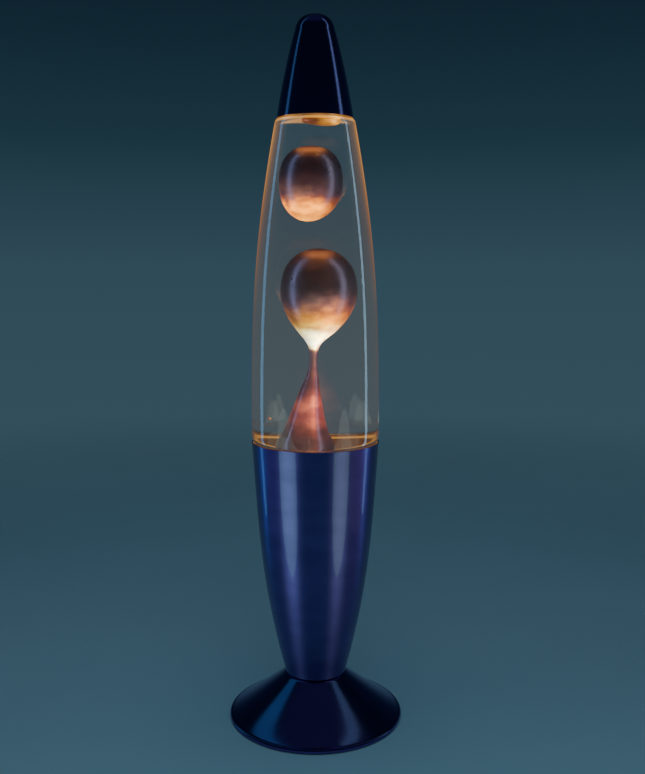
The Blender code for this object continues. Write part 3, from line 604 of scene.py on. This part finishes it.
def lofted(name, stations, steps, segments, shape_of, material):
    """A soft solid of level rings. Stations are (x, z, radius) in mm, from the top down."""
    rows = [spline([s[k] for s in stations], steps) for k in (0, 1, 2)]
    shape = bmesh.new()
    rings = []
    for x, z, r in zip(*rows):
        ring = []
        for i in range(segments):
            a = 2 * math.pi * i / segments
            dx, dy, dz = shape_of(a, z, r)
            ring.append(shape.verts.new(((x + dx) * MM, dy * MM, (z + dz) * MM)))
        rings.append(ring)
    for upper, lower in zip(rings, rings[1:]):
        for i in range(segments):
            j = (i + 1) % segments
            shape.faces.new((upper[i], upper[j], lower[j], lower[i]))
    shape.faces.new(rings[0])
    shape.faces.new(rings[-1][::-1])
    return remember_places(finished(name, shape, material, 60))


def rising_ring(a, z, r):
    """A level ring of the rising wax. The cone has two soft ridges down its front, left and right."""
    fold = math.exp(-((z - 172.0) / 22.0) ** 2)
    ridges = sum(height * math.exp(-((math.degrees(a) - at) / width) ** 2)
                 for at, height, width in ((224.0, 0.06, 18.0), (291.0, 0.12, 24.0)))
    q = r * (1.0 + fold * ridges)
    return q * math.cos(a), q * math.sin(a), 0.0


# The painted glow in the rising wax, by height in mm, and its painted side light from left to right
RISING_PAINTED_GLOW = [
    (124.0, (0.02, 0.006, 0.004)), (155.0, (0.04, 0.012, 0.009)), (163.3, (0.09, 0.020, 0.014)),
    (167.4, (0.13, 0.030, 0.020)), (171.5, (0.30, 0.065, 0.045)), (175.5, (0.75, 0.160, 0.095)),
    (179.6, (1.60, 0.300, 0.160)), (187.7, (1.90, 0.360, 0.190)), (193.7, (0.90, 0.190, 0.130)),
    (197.8, (0.42, 0.110, 0.090)), (203.8, (0.45, 0.130, 0.110)), (211.9, (0.26, 0.110, 0.100)),
    (215.9, (0.40, 0.160, 0.120)), (218.0, (1.2, 0.500, 0.180)), (219.5, (10.0, 6.50, 2.50)),
    (222.0, (19.0, 17.0, 9.0)), (225.5, (13.0, 10.5, 4.50)), (228.4, (7.5, 4.60, 1.10)),
    (231.0, (4.6, 2.10, 0.20)), (234.0, (3.2, 1.05, 0.03)), (237.0, (2.5, 0.75, 0.03)),
    (239.7, (1.6, 0.48, 0.12)), (242.0, (0.9, 0.30, 0.15)), (245.3, (0.30, 0.13, 0.11)),
    (249.0, (0.08, 0.035, 0.030)), (252.0, (0.02, 0.008, 0.006)), (275.0, (0.0, 0.0, 0.0)),
]
RISING_PAINTED_SIDE_LIGHT = [
    (-1.0, (0.12, 0.12, 0.18)), (-0.75, (0.14, 0.16, 0.24)), (-0.40, (0.26, 0.31, 0.40)),
    (0.0, (0.60, 0.68, 0.75)), (0.36, (1.25, 1.20, 1.1)), (0.58, (0.72, 0.62, 0.65)),
    (0.80, (0.38, 0.28, 0.34)), (1.0, (0.22, 0.16, 0.20)),
]


def make_rising_wax():
    """The pool, its leaning cone, the neck and the drop are one body of wax."""
    stations = [
        (1.5, 273.2, 0.4), (1.5, 272.7, 3.6), (1.5, 271.0, 7.6), (1.5, 267.4, 11.4), (1.6, 261.8, 14.5),
        (1.6, 254.0, 16.1), (1.6, 246.0, 16.1), (1.4, 239.6, 14.5), (1.1, 233.4, 11.8), (0.6, 227.6, 7.9),
        (-0.2, 223.0, 4.2), (-0.6, 219.0, 2.2), (-0.8, 213.0, 1.7), (-1.0, 207.7, 1.9), (-1.5, 201.0, 3.0),
        (-2.3, 194.7, 4.4), (-3.5, 181.0, 7.3), (-4.1, 171.0, 9.9), (-4.2, 163.0, 13.0), (-3.0, 152.0, 17.0),
        (-1.0, 144.0, 19.4), (0.0, 138.0, 25.5), (0.0, 134.5, 28.2), (0.0, 130.0, 27.8), (0.0, 126.6, 25.6),
        (0.0, 124.9, 22.6),
    ]
    painted_glow_steps = [(z * MM, colour) for z, colour in RISING_PAINTED_GLOW]
    material = wax_material("rising_wax", painted_glow_steps, RISING_PAINTED_SIDE_LIGHT, 0.7)
    wax = lofted("rising_wax", stations, 6, 96, rising_ring, material)
    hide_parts("wax_pool", "wax_neck", "wax_drop")
    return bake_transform(wax)


def soft_ball(name, centre, half, material, shape_of=None, segments=64):
    """A ball of wax with its own half sizes. A shape changes each point of the unit ball first."""
    shape = bmesh.new()
    bmesh.ops.create_uvsphere(shape, u_segments=segments, v_segments=3 * segments // 4, radius=1.0)
    for vert in shape.verts:
        point = shape_of(vert.co) if shape_of else vert.co
        vert.co = [c + h * p for c, h, p in zip(centre, half, point)]
    return remember_places(finished(name, shape, material, 60))


def blob_shape(point):
    """Fuller than a ball above, and with the lowest point a little to the left."""
    fullness = 0.81 if point.z > 0.0 else 1.0
    level = max(1e-6, math.hypot(point.x, point.y))
    wide = level ** fullness / level
    low = max(0.0, -point.z) ** 2
    height = math.copysign(abs(point.z) ** fullness, point.z)
    return Vector((point.x * wide - 0.08 * low, point.y * wide, height))


def make_free_wax():
    """The upper blob. Its steps of painted light go from its bottom, at 0, to its top, at 1."""
    half = (BLOB_TOP - BLOB_LOW) / 2
    half = Vector((1.035 * half.x, 1.035 * half.y, 0.975 * half.z))
    centre = (BLOB_LOW + BLOB_TOP) / 2 - Vector((0.0, 0.0, 1.6 * MM))
    steps = (
        (0.0, (4.2, 1.5, 0.05)), (0.07, (2.6, 0.75, 0.02)), (0.20, (4.2, 1.25, 0.02)),
        (0.255, (2.4, 0.62, 0.04)), (0.309, (0.65, 0.19, 0.09)), (0.35, (0.32, 0.13, 0.095)),
        (0.39, (0.20, 0.085, 0.065)), (0.47, (0.11, 0.048, 0.034)), (0.55, (0.05, 0.018, 0.014)),
        (0.63, (0.015, 0.004, 0.003)), (0.72, (0.002, 0.001, 0.001)), (1.0, (0.0, 0.0, 0.0)),
    )
    painted_glow_steps = [(centre.z + (2 * share - 1) * half.z, colour) for share, colour in steps]
    # Painted side light: full over the left and middle, darker towards the right side.
    painted_side_light = [(-1.0, (0.7, 0.6, 0.6)), (-0.7, grey(1.0)), (0.40, grey(1.0)), (0.62, (0.40, 0.33, 0.40)),
             (0.85, (0.12, 0.09, 0.14)), (1.0, (0.10, 0.08, 0.12))]
    blob = soft_ball("free_wax", centre, half, wax_material("free_wax", painted_glow_steps, painted_side_light), blob_shape)
    return place(blob, "wax_blob", "wax", "wax_blob")


def lens_shape(point):
    """Nearly flat above, where it lies against the level, and fuller to the right below."""
    height = 0.35 * point.z if point.z > 0.0 else point.z * (1.0 + 0.25 * point.x)
    return Vector((point.x, point.y, height))


def drop_shape(point):
    """A droplet drawn out upwards."""
    narrow = 1.0 - 0.45 * max(0.0, point.z)
    return Vector((point.x * narrow, point.y * narrow, point.z * (1.3 if point.z > 0.0 else 1.0)))


def make_wax_scraps():
    """A flat lens of wax that floats under the liquid's level, and a droplet that has come off the cone."""
    # Painted light: an amber glow over the lens and the droplet, with painted side light, brightest right of
    # the middle.
    painted_glow_steps = [(170 * MM, (1.3, 0.45, 0.06)), (LIQUID_TOP.z, (1.2, 0.46, 0.03))]
    painted_side_light = [(-1.0, (0.40, 0.26, 0.25)), (-0.2, (0.12, 0.08, 0.10)), (0.20, grey(0.6)),
             (0.5, (1.5, 1.6, 1.3)), (1.0, grey(0.6))]
    glow_wax_material = wax_material("painted_glow_wax", painted_glow_steps, painted_side_light, 0.0)
    lens_place = (2.6 * MM, -2.0 * MM, LIQUID_TOP.z - 0.7 * MM)
    lens = soft_ball("floating_wax", lens_place, (8.2 * MM, 6.5 * MM, 2.7 * MM), glow_wax_material, lens_shape)
    droplet_place = (-19.8 * MM, 0.0, 178.6 * MM)
    droplet_half = (0.75 * MM, 0.6 * MM, 0.5 * MM)
    droplet = soft_ball("wax_droplet", droplet_place, droplet_half, glow_wax_material, drop_shape, 24)
    return [place(piece, "bottle", "wax") for piece in (lens, droplet)]


def make_waxes():
    """All the wax. It stays out of reflections, where its painted glow would show twice."""
    waxes = [make_rising_wax(), make_free_wax(), *make_wax_scraps()]
    for piece in waxes:
        piece.visible_glossy = False
    return waxes


# ---------------------------------------------------------------- crown and bulb
def make_crown():
    """A pressed crown with crimps round its skirt."""
    crimps = 21
    top, low = CROWN_TOP.z, CROWN_LOW.z
    skirt_radius = CROWN_TOP.x
    outer = [(0.0, top), (11.4 * MM, top), (12.4 * MM, top - 0.25 * MM), (13.1 * MM, top - 0.9 * MM)]
    edge, skirt_top = 13.1 * MM, top - 0.9 * MM
    flare = skirt_radius - 13.5 * MM
    rows = 8
    outer += [(edge + flare * k / rows, skirt_top - (skirt_top - low) * k / rows) for k in range(1, rows + 1)]
    outline = outer + inset(outer, 0.4 * MM)[:0:-1] + [(0.0, top - 0.4 * MM)]

    def crimp(a, r, z):
        return 0.38 * MM * math.cos(crimps * a) * min(1.0, max(0.0, (top - 1.0 * MM - z) / (3.0 * MM)))

    metal = finish("crown_metal", (0.55, 0.53, 0.46), (0.66, 0.64, 0.57), 1.0, (0.22, 0.34))
    crown = turned("crimped_crown", outline, metal, 8 * crimps, closed=False, ripple=crimp)
    place(crown, "bottle", "crown_metal", "crown_closure")


def bulb_glass():
    """A frosted dome, lit from inside, over a silvered reflector."""
    material, tree, shader = new_material("bulb_glass")
    set_values(shader, Emission_Strength=1.0)
    dome = ramp(tree, height_above(tree, BULB_LOW.z, BULB_TOP.z), (0.66, grey(0.0)), (0.73, grey(1.0)))
    tree.links.new(blend_colours(tree, "MIX", (0.72, 0.72, 0.70, 1.0), (0.95, 0.86, 0.72, 1.0), dome),
                   shader.inputs["Base Color"])
    tree.links.new(math_node(tree, "SUBTRACT", 1.0, dome), shader.inputs["Metallic"])
    haze = ramp(tree, noise(tree, 300.0), (0.3, grey(0.22)), (0.7, grey(0.34)))
    tree.links.new(haze, shader.inputs["Roughness"])
    light = blend_colours(tree, "MULTIPLY", dome, (1.0, 0.46, 0.12, 1.0))
    tree.links.new(light, shader.inputs["Emission Color"])
    return material


def make_bulb():
    top = BULB_TOP.z
    radius = BULB_TOP.x
    shoulder = (radius, top - 10.5 * MM)
    dome = bezier((0.0, top), (12 * MM, top), (radius - 0.2 * MM, top - 4 * MM), shoulder, 20)
    reflector = bezier(shoulder, (radius - 0.1 * MM, top - 18.5 * MM), (6.4 * MM, top - 24 * MM),
                       (6.2 * MM, top - 33 * MM), 28)
    outer = dome + reflector[1:] + [(6.1 * MM, top - 37 * MM), (6.0 * MM, BULB_LOW.z)]
    outline = outer + inset(outer, SHEET)[:0:-1] + [(0.0, top - SHEET)]
    bulb = turned("reflector_bulb", outline, bulb_glass(), 96, closed=False)
    place(bulb, "bulb", "bulb_glass", "bulb_envelope")


def make_bulb_screw_cap():
    """A rolled brass thread: one helical wave round the sleeve."""
    pitch = 2.82 * MM
    low, high = SCREW_LOW.z, SCREW_TOP.z
    thread_top = high - 4.4 * MM
    bore = 5.9 * MM
    thread_radius = 6.7 * MM
    rows = 64
    outer = [(bore + 0.4 * MM, high), (7.5 * MM, high), (SCREW_TOP.x, high - 0.25 * MM)]
    outer += [(SCREW_TOP.x, high - 1.6 * MM), (7.2 * MM, high - 2.2 * MM), (thread_radius, high - 3.2 * MM)]
    outer += [(thread_radius, thread_top - (thread_top - low) * k / rows) for k in range(rows + 1)]

    def wave(a, r, z):
        fade = min(1.0, max(0.0, (thread_top - z) / pitch), max(0.0, (z - low) / (0.4 * pitch)))
        on_thread = r > thread_radius - 0.2 * MM
        return 0.25 * MM * fade * math.cos(2 * math.pi * z / pitch - a) if on_thread else 0.0

    outline = outer + [(bore, low), (bore, high - 0.3 * MM)]
    brass = finish("lamp_brass", (0.62, 0.44, 0.17), (0.78, 0.58, 0.26), 1.0, (0.22, 0.38))
    screw_cap = turned("threaded_bulb_cap", outline, brass, 96, ripple=wave)
    place(screw_cap, "bulb", "brass", "bulb_screw_cap")


# ---------------------------------------------------------------- finishes of the CAD pieces
def finish_cad_nodes():
    """The pieces whose CAD shape stays get a finish by their slot, and shade smooth on their round sides."""
    finishes = {
        "black_painted_steel": finish("black_paint", grey(0.012), grey(0.022), 0.0, (0.35, 0.5), 120.0, 0.12),
        "rubber": finish("pad_rubber", grey(0.010), grey(0.020), 0.0, (0.65, 0.8)),
        "zinc_steel": finish("zinc_plate", (0.46, 0.48, 0.50), (0.62, 0.63, 0.62), 1.0, (0.25, 0.42)),
        "holder_plastic": finish("urea_plastic", (0.66, 0.64, 0.58), (0.74, 0.72, 0.66), 0.0, (0.28, 0.4),
                                 coat=0.2),
        "brass": finish("contact_brass", (0.60, 0.43, 0.17), (0.76, 0.57, 0.26), 1.0, (0.25, 0.4)),
        "lead_insulation": finish("lead_pvc", grey(0.015), grey(0.028), 0.0, (0.4, 0.5)),
        "bulb_insulator": finish("vitrite", grey(0.008), grey(0.016), 0.0, (0.1, 0.2)),
        "bulb_glass": finish("stem_glass", (0.70, 0.72, 0.70), (0.80, 0.82, 0.80), 0.0, (0.08, 0.15)),
        "tungsten": finish("tungsten", (0.30, 0.28, 0.25), (0.42, 0.38, 0.33), 1.0, (0.35, 0.5)),
        "crown_liner": finish("liner", (0.70, 0.70, 0.66), (0.80, 0.80, 0.76), 0.0, (0.5, 0.65)),
    }
    for part in frame["record"]["subparts"]:
        obj = frame["nodes"][part["node"]]
        if obj.hide_render:
            continue
        obj.data.shade_smooth()
        obj.data.set_sharp_from_angle(angle=math.radians(38))
        obj.data.materials.clear()
        obj.data.materials.append(finishes[part["material_slot"]])


# ---------------------------------------------------------------- studio
STRIPS_AT = 0.30  # how far the panels stand from the lamp's axis
CARDS_AT = 0.34
CARD_TOP = 0.145
FLOOR_HALF = 6.0
FLOOR_FADE = (0.30, 1.2)  # where the floor begins and ends to fade
CAMERA_LENS = 43.37
CAMERA_PLACE = (4.1 * MM, -528.6 * MM, 264.8 * MM)
CAMERA_DOWN = 7.44  # degrees below level


def link(group_name, state, pieces):
    group = bpy.data.collections.new(group_name)
    for piece in pieces:
        group.objects.link(piece)
    for entry in group.collection_objects:
        entry.light_linking.link_state = state
    return group


def area_light(name, shape, location, turn, size, colour, radiance):
    """A soft panel of the given radiance. It faces along its own -Z, as turned."""
    data = bpy.data.lights.new(name, "AREA")
    data.shape = shape
    data.size, data.size_y = size
    data.color = colour
    data.energy = radiance * math.pi * size[0] * size[1] * (math.pi / 4 if shape == "ELLIPSE" else 1.0)
    light = bpy.data.objects.new(name, data)
    bpy.context.scene.collection.objects.link(light)
    light.location = location
    light.rotation_euler = turn
    light.visible_camera = False
    light.visible_transmission = False
    return light


def upright_panel(name, shape, azimuth, distance, low, high, width, colour, radiance):
    """A panel that faces the lamp's axis. Azimuth 0 is in front of the lamp and 90 to its right."""
    a = math.radians(azimuth)
    place_of = (distance * math.sin(a), -distance * math.cos(a), (low + high) / 2)
    turn = Matrix.Rotation(a, 3, "Z") @ Matrix.Rotation(math.pi / 2, 3, "X")
    return area_light(name, shape, place_of, turn.to_euler(), (width, high - low), colour, radiance)


def light_glass(others):
    """Tall strips draw the lines along the glass. They reach all but the others."""
    strips = (
        ("glass_left", -105, 0.046, (0.165, 0.535, 1.0), 2.6),
        ("glass_right", 98, 0.034, (0.41, 0.72, 1.0), 4.2),
    )
    for name, azimuth, width, colour, radiance in strips:
        strip = upright_panel(name, "RECTANGLE", azimuth, STRIPS_AT, 0.0, 0.75, width, colour, radiance)
        strip.light_linking.receiver_collection = link(name + "_skips", "EXCLUDE", others)


def light_with_cards(floor, cup, foot, bottle):
    """Low round cards in front draw the broad highlights of the cup and the pale patches low on the glass.
    The floor and the foot don't stand in their way."""
    cards = (
        ("cup_card_left", -50, 0.20, -0.100, (0.47, 1.0, 0.72), 2.17, cup),
        ("cup_card_right", 47, 0.18, -0.100, (0.54, 1.0, 0.57), 1.75, cup),
        ("glass_card_left", -54, 0.26, -0.125, (0.85, 1.0, 0.90), 0.8, bottle),
        ("glass_card_right", 50, 0.22, -0.125, (0.95, 1.0, 0.85), 0.8, bottle),
    )
    for name, azimuth, width, low, colour, radiance, piece in cards:
        card = upright_panel(name, "ELLIPSE", azimuth, CARDS_AT, low, CARD_TOP, width, colour, radiance)
        card.light_linking.receiver_collection = link(name + "_reaches", "INCLUDE", [piece])
        card.light_linking.blocker_collection = link(name + "_passes", "EXCLUDE", [floor, foot])


def light_with_strips(cap, cup, foot, waxes):
    """Each finish has its own strips, left and right, for its lines and its sheen. The wax is seen
    through glass, and its strips go without multiple importance sampling."""
    strips = (
        ("cap_left", -94, 0.05, 0.0, 1.0, (0.17, 1.0, 0.78), 0.5, [cap]),
        ("cap_right", 86, 0.05, 0.0, 1.0, (0.37, 1.0, 0.70), 0.94, [cap]),
        ("cup_left", -108, 0.038, 0.025, 0.75, (0.165, 0.60, 1.0), 2.0, [cup]),
        ("cup_right", 101, 0.032, 0.025, 0.75, (0.41, 0.74, 1.0), 2.2, [cup]),
        ("cup_sheen_left", -84, 0.16, 0.0, 0.75, (0.38, 0.33, 1.0), 0.21, [cup]),
        ("cup_sheen_right", 82, 0.16, 0.0, 0.75, (0.90, 0.68, 1.0), 0.22, [cup]),
        ("foot_left", -106, 0.09, 0.0, 1.0, (0.11, 1.0, 0.87), 0.30, [foot]),
        ("foot_right", 93, 0.07, 0.0, 1.0, (0.30, 1.0, 0.58), 0.37, [foot]),
        ("wax_left", -88, 0.09, 0.0, 0.85, (0.34, 0.57, 1.0), 1.8, waxes),
        ("wax_right", 84, 0.09, 0.0, 0.85, (0.60, 0.78, 1.0), 1.8, waxes),
    )
    for name, azimuth, width, low, high, colour, radiance, pieces in strips:
        strip = upright_panel(name, "RECTANGLE", azimuth, STRIPS_AT, low, high, width, colour, radiance)
        strip.light_linking.receiver_collection = link(name + "_reaches", "INCLUDE", pieces)
        strip.data.cycles.use_multiple_importance_sampling = pieces is not waxes


def light_floor(floor):
    """One wide wash over the whole floor, and one nearer the front."""
    washes = (("floor_wash", (0.0, 0.1, 1.3), 1.1, 0.75), ("floor_front", (0.0, -0.45, 0.35), 0.4, 1.1))
    for name, location, side, radiance in washes:
        size = (side, side)
        wash = area_light(name, "SQUARE", location, (0.0, 0.0, 0.0), size, (0.36, 0.74, 1.0), radiance)
        wash.light_linking.receiver_collection = link(name + "_reaches", "INCLUDE", [floor])


def surroundings():
    """Dim teal all round, a little lighter towards the floor."""
    world = bpy.data.worlds.new("studio")
    world.use_nodes = True
    tree = world.node_tree
    where = node(tree, "ShaderNodeTexCoord")
    span = node(tree, "ShaderNodeMapRange")
    span.inputs["From Min"].default_value = -0.5
    span.inputs["From Max"].default_value = 1.0
    tree.links.new(axes_of(tree, where.outputs["Generated"])["Z"], span.inputs["Value"])
    shades = ramp(tree, span.outputs["Result"],
                  (0.0, (0.045, 0.090, 0.120)), (0.26, (0.040, 0.080, 0.110)),
                  (0.333, (0.036, 0.075, 0.103)), (0.42, (0.015, 0.040, 0.058)),
                  (0.507, (0.0085, 0.022, 0.036)), (0.70, (0.006, 0.014, 0.023)),
                  (0.84, (0.006, 0.014, 0.023)), (0.94, (0.023, 0.038, 0.066)))
    tree.links.new(shades, tree.nodes["Background"].inputs["Color"])
    bpy.context.scene.world = world


def make_floor():
    """A pale floor that fades into the surroundings far from the lamp."""
    shape = bmesh.new()
    bmesh.ops.create_grid(shape, x_segments=1, y_segments=1, size=FLOOR_HALF)
    material, tree, shader = new_material("pale_floor")
    set_values(shader, Roughness=0.75)
    tone = ramp(tree, noise(tree, 4.0), (0.3, (0.50, 0.57, 0.59)), (0.7, (0.54, 0.61, 0.63)))
    tree.links.new(tone, shader.inputs["Base Color"])
    distance = node(tree, "ShaderNodeVectorMath", operation="LENGTH")
    tree.links.new(own_place(tree), distance.inputs[0])
    far = node(tree, "ShaderNodeMapRange", interpolation_type="SMOOTHSTEP")
    far.inputs["From Min"].default_value, far.inputs["From Max"].default_value = FLOOR_FADE
    tree.links.new(distance.outputs["Value"], far.inputs["Value"])
    mix = node(tree, "ShaderNodeMixShader")
    tree.links.new(far.outputs["Result"], mix.inputs["Fac"])
    tree.links.new(shader.outputs["BSDF"], mix.inputs[1])
    tree.links.new(node(tree, "ShaderNodeBsdfTransparent").outputs["BSDF"], mix.inputs[2])
    tree.links.new(mix.outputs["Shader"], tree.nodes["Material Output"].inputs["Surface"])
    floor = finished("floor", shape, material, 35)
    return floor


def camera():
    data = bpy.data.cameras.new("camera")
    data.sensor_width = 36.0
    data.lens = CAMERA_LENS
    obj = bpy.data.objects.new("camera", data)
    bpy.context.scene.collection.objects.link(obj)
    obj.location = CAMERA_PLACE
    obj.rotation_euler = (math.radians(90 - CAMERA_DOWN), 0.0, 0.0)
    bpy.context.scene.camera = obj


camera()
surroundings()
foot = make_foot()
make_bushing()
cup = make_cup()
cap = make_cap()
bottle = make_bottle()
make_liquid()
waxes = make_waxes()
make_crown()
make_bulb()
make_bulb_screw_cap()
finish_cad_nodes()
floor = make_floor()
light_glass([floor, cap, cup, foot, *waxes])
light_with_cards(floor, cup, foot, bottle)
light_with_strips(cap, cup, foot, waxes)
light_floor(floor)
